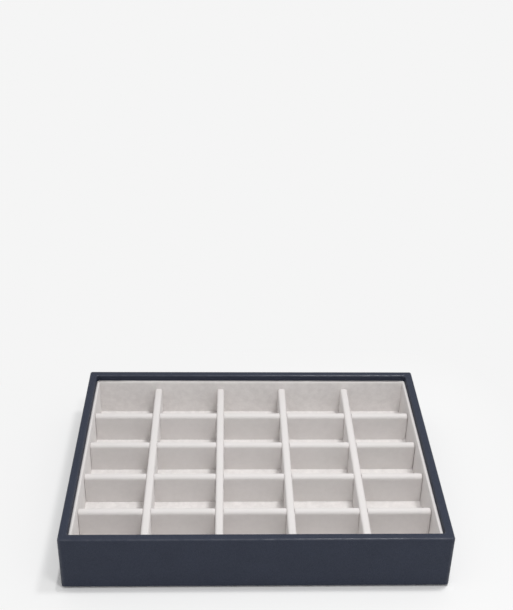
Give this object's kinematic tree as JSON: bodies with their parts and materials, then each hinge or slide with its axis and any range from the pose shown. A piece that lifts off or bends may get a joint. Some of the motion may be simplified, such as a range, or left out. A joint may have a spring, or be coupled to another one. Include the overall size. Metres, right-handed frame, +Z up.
{
  "type": "jewelry tray",
  "caption": "Shallow rectangular jewelry tray: a leather-wrapped frame with a raised rim, velvet-lined and parted into small open compartments by a cross-lapped grid.",
  "frame": {"origin": "middle of the footprint, on the table that the pad under the tray rests on", "axes": "+X to the right along the long side, +Y to the back, +Z up out of the open top"},
  "size_m": [0.25, 0.18, 0.042],
  "materials": {
    "leather": "satin",
    "velvet": "matte",
    "pad_felt": "matte",
    "frame_board": "matte",
    "divider_board": "matte",
    "card": "matte"
  },
  "bodies": {
    "root": {"front_wall": "frame_board", "right_wall": "frame_board", "back_wall": "frame_board", "left_wall": "frame_board", "base_board": "frame_board", "outer_leather": "leather", "base_pad": "pad_felt", "floor_card": "card", "floor_velvet": "velvet", "front_lining_card": "card", "front_lining_velvet": "velvet", "right_lining_card": "card", "right_lining_velvet": "velvet", "back_lining_card": "card", "back_lining_velvet": "velvet", "left_lining_card": "card", "left_lining_velvet": "velvet", "column_divider_1_core": "divider_board", "column_divider_1_velvet": "velvet", "column_divider_2_core": "divider_board", "column_divider_2_velvet": "velvet", "column_divider_3_core": "divider_board", "column_divider_3_velvet": "velvet", "column_divider_4_core": "divider_board", "column_divider_4_velvet": "velvet", "row_divider_1_core": "divider_board", "row_divider_1_velvet": "velvet", "row_divider_2_core": "divider_board", "row_divider_2_velvet": "velvet", "row_divider_3_core": "divider_board", "row_divider_3_velvet": "velvet", "row_divider_4_core": "divider_board", "row_divider_4_velvet": "velvet"}
  },
  "joints": []
}
